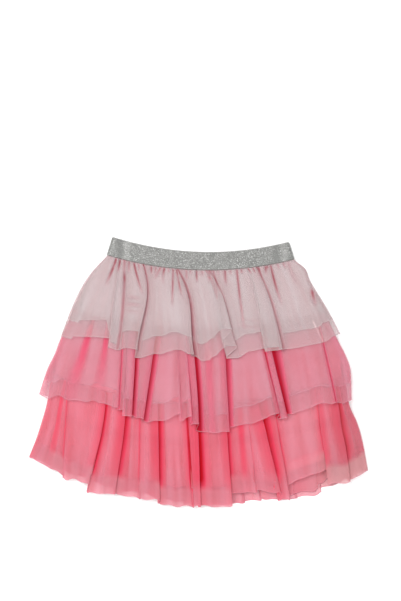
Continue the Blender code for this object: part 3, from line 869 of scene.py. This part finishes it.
def tulle_material(number, layer, cover, cell):
    """Fine net: threads round small cells, see-through between them, with painted shade in the valleys of the folds."""
    tier, colours = TIERS[number], values()[1]
    colour, slope_shade, deep = (opaque(getattr(colours, f"tier_{number}{end}")) for end in ("", "_hot", "_deep"))
    lighter = opaque(colour, 1.06, 0.012)
    f = Finish(f"{tier.slot}_{layer}", (colour[0] * RED_KEPT, colour[1] * tier.rich, colour[2] * tier.rich, 1))
    cells = f.add("TexVoronoi", {"Vector": f.uv, "Scale": 1 / cell, "Randomness": CELL_UNEVEN}, "Distance",
                  feature="DISTANCE_TO_EDGE", voronoi_dimensions="2D")
    threads = f.ranged(cells, *THREAD)
    shade = f.add("Attribute", output="Fac", attribute_name="fold_shade")
    streaks, clouds, bands = f.noise(f.uv, STREAKS, 2.0), f.noise(f.uv, CLOUDS, 3.0), f.noise(f.uv, BANDS, 1.0)
    up = f.axis(f.uv, "Y")
    edge = f.ranged(up, *HEM_EDGE)
    f.tint(f.ranged(streaks, 0.36, 0.64), lighter)
    f.tint(f.ranged(clouds, 0.35, 0.8, 0.0, 0.35), lighter)
    # painted shade: random bands for the net's small folds, then slopes and valleys as fold_shade says
    f.tint(f.ranged(bands, 0.48, 0.72, 0.0, 0.48 - 0.38 * tier.rich), slope_shade)
    f.tint(f.ranged(shade, 0.0, 0.5), slope_shade)
    f.tint(f.ranged(shade, 0.5, 0.9), deep)
    denser = [f.maths("MULTIPLY", shade, SHADE_COVER), f.maths("MULTIPLY", edge, EDGE_COVER)]
    if number == 3:
        dusty = dusty_hem(f, up, bands, colours.tier_3_hem, DUSTY_RAISED[layer])
        denser.append(f.maths("MULTIPLY", dusty, DUSTY_COVER))
    if number == 1:
        f.tint(f.ranged(f.noise(f.uv, MOTTLE, 3.0), 0.50, 0.68, 0.0, 0.4), MOTTLE_GREY)
        f.tint(seam_line(f), SEAM_THREAD)
    f.tint(f.maths("MULTIPLY", edge, 0.5), lighter)
    face = 1 - math.sqrt(1 - cover)  # each layer is a shell, so a ray meets two faces
    covered = f.maths("ADD", f.ranged(threads, 0.0, 1.0, face * 0.92, min(1.0, face * 1.16)), *denser)
    height = f.maths("ADD", f.maths("MULTIPLY", threads, 0.35), f.maths("MULTIPLY", clouds, 0.6))
    bump = f.bump(height, 0.15, 0.0003)
    cloth = f.surface(Normal=bump, Roughness=0.72, Specular_IOR_Level=0.1, Sheen_Weight=0.05, Sheen_Roughness=0.4)
    glow = f.add("BsdfTranslucent", {"Color": f.base, "Normal": bump})
    lit = f.add("MixShader", {0: GLOW_SHARE, 1: cloth, 2: glow})
    shown = f.maths("MINIMUM", covered, 1.0)
    return f.finished(f.add("MixShader", {0: shown, 1: f.add("BsdfTransparent"), 2: lit}))


def jersey_material(name, pale, pink):
    """Fine knitted lining, pale near the waist and pinker further down."""
    f = Finish(name, opaque(pale))
    f.tint(f.ranged(f.axis(f.place, "Y"), *LINING_PINKER), opaque(pink))
    knit = f.maths("MULTIPLY", f.wave("X", 200.0, 0.6), f.wave("Y", 260.0, 0.4))
    f.tint(f.ranged(knit, 0.0, 1.0, 0.12, 0.0), KNIT_SHADOW)
    return f.finished(f.surface(Normal=f.bump(knit, 0.4, 0.0003), Roughness=0.8, Specular_IOR_Level=0.2,
                                Sheen_Weight=0.15))


def elastic_material(name, colour):
    """Silver elastic: fine lengthwise ribs of grey yarn with glittering threads woven in."""
    tones = {"dark": opaque(colour, 0.62), "bright": opaque(colour, 1.75, 0.05)}
    f = Finish(name, tones["dark"])
    flakes = f.add("TexVoronoi", {"Vector": f.uv, "Scale": FLAKES, "Randomness": 1.0}, "Color",
                   voronoi_dimensions="2D")
    flake = f.add("SeparateColor", {0: flakes}, mode="RGB")
    f.tint(f.ranged(flake, *FLAKE_GREY), opaque(colour))
    f.tint(f.ranged(flake, *FLAKE_BRIGHT), tones["bright"])
    f.tint(f.ranged(f.noise(f.uv, (110, 60, 1), 3.0), 0.3, 0.75, 0.0, 0.35), opaque(colour, 1.2))
    across, up = f.axis(f.place, "X"), f.axis(f.uv, "Y")
    for place, tone, strength in BAND_PATCHES:
        patch = f.maths("MULTIPLY", f.ranged(f.away(across, place), *PATCH_REACH), f.ranged(flake, 0.1, 0.9, 0.25),
                        strength)
        f.tint(patch, tones[tone])
    # painted light along both edges, against the shade where the band rounds over
    edge_light = f.maths("MAXIMUM", *(f.ranged(up, *edge) for edge in LIT_EDGES))
    f.tint(f.maths("MULTIPLY", edge_light, 0.6), tones["bright"])
    bump = f.bump(f.maths("ADD", f.wave("Y", 130.0, 0.5), flake), 0.55, 0.0004)
    return f.finished(f.surface(Normal=bump, Metallic=0.35, Roughness=0.42, Specular_IOR_Level=0.4))


def floor_material(name, colour):
    """Plain floor, with hardly any unevenness."""
    f = Finish(name, opaque(colour, 0.99))
    f.tint(f.ranged(f.noise(f.place, 40.0, 2.0), 0.3, 0.7), opaque(colour))
    return f.finished(f.surface(Roughness=0.9, Specular_IOR_Level=0.0))


# ---------------------------------------------------------------- user's values

def colour_value(name, description, default):
    return FloatVectorProperty(name=name, description=description, default=default, size=3, min=0, max=1,
                               subtype="COLOR")


def length_value(name, description, default):
    return FloatProperty(name=name, description=description, default=default, min=0, unit="LENGTH",
                         subtype="DISTANCE")


class SkirtSizes(bpy.types.PropertyGroup):
    under_short: length_value("Under layer shorter by", "How far the under layer ends above its tier's hem", 0.0245)
    band_wall: length_value("Elastic thickness", "Thickness of the elastic waist", 0.0019)
    net_cell: length_value("Net cell", "Size of the holes in the tulle", 0.0012)
    row_step: length_value("Row step", "Distance between the rows of points down a tier", 0.0028)


class SkirtColours(bpy.types.PropertyGroup):
    elastic: colour_value("Elastic", "Grey of the silver elastic", (0.20, 0.20, 0.192))
    # The slopes and valleys colours of each tier are painted shade, mixed in beside and in its folds.
    tier_1: colour_value("Tier 1", "Outer net of the first tier", (0.622, 0.576, 0.578))
    tier_1_hot: colour_value("Tier 1 slopes", "Slopes beside the first tier's valleys", (0.60, 0.41, 0.43))
    tier_1_deep: colour_value("Tier 1 valleys", "Valleys of the first tier", (0.42, 0.135, 0.16))
    tier_2: colour_value("Tier 2", "Net of the second tier", (0.68, 0.385, 0.455))
    tier_2_hot: colour_value("Tier 2 slopes", "Slopes beside the second tier's valleys", (0.79, 0.15, 0.25))
    tier_2_deep: colour_value("Tier 2 valleys", "Valleys of the second tier", (0.50, 0.008, 0.03))
    tier_3: colour_value("Tier 3", "Net of the third tier", (0.77, 0.30, 0.38))
    tier_3_hot: colour_value("Tier 3 slopes", "Slopes beside the third tier's valleys", (0.82, 0.075, 0.145))
    tier_3_deep: colour_value("Tier 3 valleys", "Valleys of the third tier", (0.55, 0.002, 0.012))
    tier_3_hem: colour_value("Tier 3 hem", "Dusty hem of the third tier", (0.66, 0.265, 0.31))
    lining_pale: colour_value("Lining, top", "Underskirt behind the first tier", (0.72, 0.54, 0.57))
    lining_pink: colour_value("Lining, below", "Underskirt behind the lower tiers", (0.76, 0.19, 0.25))
    floor: colour_value("Floor", "The floor under the skirt", (0.92, 0.92, 0.92))


def values():
    """The sizes and the colours that a user may change."""
    return bpy.context.scene.skirt_sizes, bpy.context.scene.skirt_colours


# ---------------------------------------------------------------- pieces

SMALL_GATHERS, SMALL_SEED = 60, 11
SMALL_REACHES = ((-122, 127), (-2, 3), (5, 12), (0.05, 0.38), (1.0, 1.5))  # least and most x, lean, length and so on
GATHER_REST = {"outer": 0.7, "under": 0.4}  # how far above the underskirt the gathers end
LINING_STEP, LINING_PARTS, BAND_PARTS = 5.0, 36, 40
BAND_ROWS, BAND_RIBS, RIB_HEIGHT = 27, 13, 0.05
BAND_EDGE = 0.035  # the share of half the band's height that its rounded edge takes up
RIBS_FROM = 0.9  # ribs show where the band has at least this share of its thickness


def make_tier(number, gathers=()):
    """Makes both layers of a tier, and draws them in where there are gathers."""
    sizes, _ = values()
    tier = TIERS[number]
    width, height = tier.cut
    length = tier.lines[0].mid_y - tier.lines[-1].mid_y
    for layer, cover in zip(("outer", "under"), tier.covers):
        inside = int(layer == "under")
        short = inside * (sizes.under_short / MM + tier.shorter)
        end = 1 - short / length
        tube = Tube(number, row_shares(length * end, sizes.row_step / MM) * end)
        points = tube.points(inside, tier.ragged + UNDER_RAGGED * inside)
        if gathers:
            top = level_lines(BAND_LINES, np.array([1.0]))
            under = zip(*((line.mid_y, line.front) for line in UNDERSKIRT_LINES[3::-1]))
            lowest = np.interp(tube.line.mid_y, *under) + GATHER_REST[layer]
            add_gathers(points, tube.shade, tube.front, gathers, lambda x: level_y(top, x), lowest)
        if layer == "under":
            for low in tier.low_hems:
                tube.lower_hem(points, low)
        points[:, :, 2] = np.maximum(points[:, :, 2], FLOOR_CLEAR)
        material = tulle_material(number, layer, cover, sizes.net_cell)
        piece = ring_mesh(f"tier_{number}_{layer}_net", points, width, NET_WALL, material, tube.shade)
        finish_piece(piece, f"tier_{number}_{layer}")


class SKIRT_OT_tier_1(bpy.types.Operator):
    """Gather the first tier, two layers of pale tulle, under the elastic"""
    bl_idname = "skirt.tier_1"
    bl_label = "First tier"

    def execute(self, context):
        draw = random.Random(SMALL_SEED)
        small = [Gather(*(draw.uniform(*reach) for reach in SMALL_REACHES)) for _ in range(SMALL_GATHERS)]
        make_tier(1, GATHERS + small)
        return {"FINISHED"}


class SKIRT_OT_tier_2(bpy.types.Operator):
    """Gather the second tier, two layers of pink tulle, on the underskirt"""
    bl_idname = "skirt.tier_2"
    bl_label = "Second tier"

    def execute(self, context):
        make_tier(2)
        return {"FINISHED"}


class SKIRT_OT_tier_3(bpy.types.Operator):
    """Gather the third tier, two layers of deeper pink tulle, on the underskirt"""
    bl_idname = "skirt.tier_3"
    bl_label = "Third tier"

    def execute(self, context):
        make_tier(3)
        return {"FINISHED"}


class SKIRT_OT_underskirt(bpy.types.Operator):
    """Make the knitted underskirt that carries the tiers"""
    bl_idname = "skirt.underskirt"
    bl_label = "Underskirt"

    def execute(self, context):
        _, colours = values()
        length = UNDERSKIRT_LINES[0].mid_y - UNDERSKIRT_LINES[-1].mid_y
        line = level_lines(UNDERSKIRT_LINES, row_shares(length, LINING_STEP))
        path = plain_path(line, LINING_PARTS, FOLD_SAMPLES)
        x, z = path[:, :, 0], path[:, :, 1]
        points = np.stack([x, level_y(line, x), z], 2)
        material = jersey_material("underskirt_jersey", colours.lining_pale, colours.lining_pink)
        piece = ring_mesh("underskirt_lining", points, LINING_HEM, JERSEY_WALL, material)
        finish_piece(piece, "underskirt")
        return {"FINISHED"}


class SKIRT_OT_waistband(bpy.types.Operator):
    """Make the silver elastic waist as one closed band"""
    bl_idname = "skirt.waistband"
    bl_label = "Elastic waist"

    def execute(self, context):
        sizes, colours = values()
        across = np.linspace(0, 1, BAND_ROWS)
        line = level_lines(BAND_LINES, across)
        path = plain_path(line, BAND_PARTS, SIDE_SAMPLES)
        along, y = unit_along(path), level_y(line, path[:, :, 0])
        edge = ((np.abs(2 * across - 1) - 1 + BAND_EDGE) / BAND_EDGE).clip(0, 1)
        rounding = np.sqrt(1 - edge ** 2)
        rib = RIB_HEIGHT * np.cos(across * 2 * math.pi * BAND_RIBS) * (rounding > RIBS_FROM)
        reach = (rounding * (sizes.band_wall / MM / 2) + rib)[:, None]
        outer, inner = (np.stack([path[:, :, 0] - along[:, :, 1] * out, y, path[:, :, 1] + along[:, :, 0] * out], 2)
                        for out in (reach, -reach))
        steps = np.linalg.norm(np.roll(outer[0], -1, 0) - outer[0], axis=1)
        u = np.concatenate([[0], np.cumsum(steps)]) * MM
        up = np.concatenate([across[::-1], across[1:]]) * BAND_HEIGHT
        points = np.concatenate([outer, inner[::-1][1:-1]])
        material = elastic_material("silver_elastic", colours.elastic)
        piece = cloth_mesh("elastic_waist", points, u, np.tile(up[:, None], len(u)), material, closed=True)
        finish_piece(piece, "waistband")
        return {"FINISHED"}


# ---------------------------------------------------------------- stage, panel and order of work

FLOOR_SIZE, ROOM_LIGHT = 6, 0.95
LIGHTS = (("key", (-0.9, 0.9, 1.9), 40, 1.0), ("fill", (1.2, -0.3, 1.8), 10, 1.6))  # name, place, watts and size
CAMERA_PLACE, CAMERA_LENS, CAMERA_SENSOR = (0.0028, 0.1001, 2.010), 85, 36
NET_LAYERS_SEEN = 48  # transparent faces that a ray may pass


class SKIRT_OT_stage(bpy.types.Operator):
    """Lay the skirt on a plain pale floor, with soft light and the camera straight above"""
    bl_idname = "skirt.stage"
    bl_label = "Stage"

    def execute(self, context):
        _, colours = values()
        scene = context.scene
        select_only()
        bpy.ops.mesh.primitive_plane_add(size=FLOOR_SIZE, location=(0, 0, 0))
        floor = context.object
        floor.name = "floor"
        floor.data.materials.append(floor_material("pale_floor", colours.floor))
        world = bpy.data.worlds.new("soft_room")
        world.use_nodes = True
        background = world.node_tree.nodes["Background"].inputs
        background[0].default_value, background[1].default_value = (1, 1, 1, 1), ROOM_LIGHT
        scene.world = world
        for name, place, watts, size in LIGHTS:
            light = bpy.data.lights.new(name, "AREA")
            light.energy, light.size = watts, size
            lamp = bpy.data.objects.new(name, light)
            lamp.location = place
            lamp.rotation_euler = (-lamp.location).to_track_quat("-Z", "Y").to_euler()
            scene.collection.objects.link(lamp)
        camera = bpy.data.cameras.new("camera")
        camera.lens, camera.sensor_width = CAMERA_LENS, CAMERA_SENSOR
        eye = bpy.data.objects.new("camera", camera)
        eye.location = CAMERA_PLACE
        scene.collection.objects.link(eye)
        scene.camera = eye
        scene.view_settings.view_transform = "Standard"
        scene.cycles.transparent_max_bounces = NET_LAYERS_SEEN
        return {"FINISHED"}


class SKIRT_PT_panel(bpy.types.Panel):
    bl_idname = "SKIRT_PT_panel"
    bl_label = "Tulle skirt"
    bl_space_type = "VIEW_3D"
    bl_region_type = "UI"
    bl_category = "Skirt"

    def draw(self, context):
        for group in values():
            box = self.layout.box()
            for key in group.__annotations__:
                box.prop(group, key)
        for step in STEPS:
            self.layout.operator(step.bl_idname)


STEPS = (SKIRT_OT_waistband, SKIRT_OT_underskirt, SKIRT_OT_tier_3, SKIRT_OT_tier_2, SKIRT_OT_tier_1, SKIRT_OT_stage)
CLASSES = (SkirtSizes, SkirtColours) + STEPS + (SKIRT_PT_panel,)


def register():
    for made in CLASSES:
        bpy.utils.register_class(made)
    bpy.types.Scene.skirt_sizes = PointerProperty(type=SkirtSizes)
    bpy.types.Scene.skirt_colours = PointerProperty(type=SkirtColours)


def unregister():
    del bpy.types.Scene.skirt_sizes
    del bpy.types.Scene.skirt_colours
    for made in reversed(CLASSES):
        bpy.utils.unregister_class(made)


def main():
    register()
    bpy.ops.skirt.waistband()
    bpy.ops.skirt.underskirt()
    bpy.ops.skirt.tier_3()
    bpy.ops.skirt.tier_2()
    bpy.ops.skirt.tier_1()
    bpy.ops.skirt.stage()


if __name__ == "__main__":
    main()
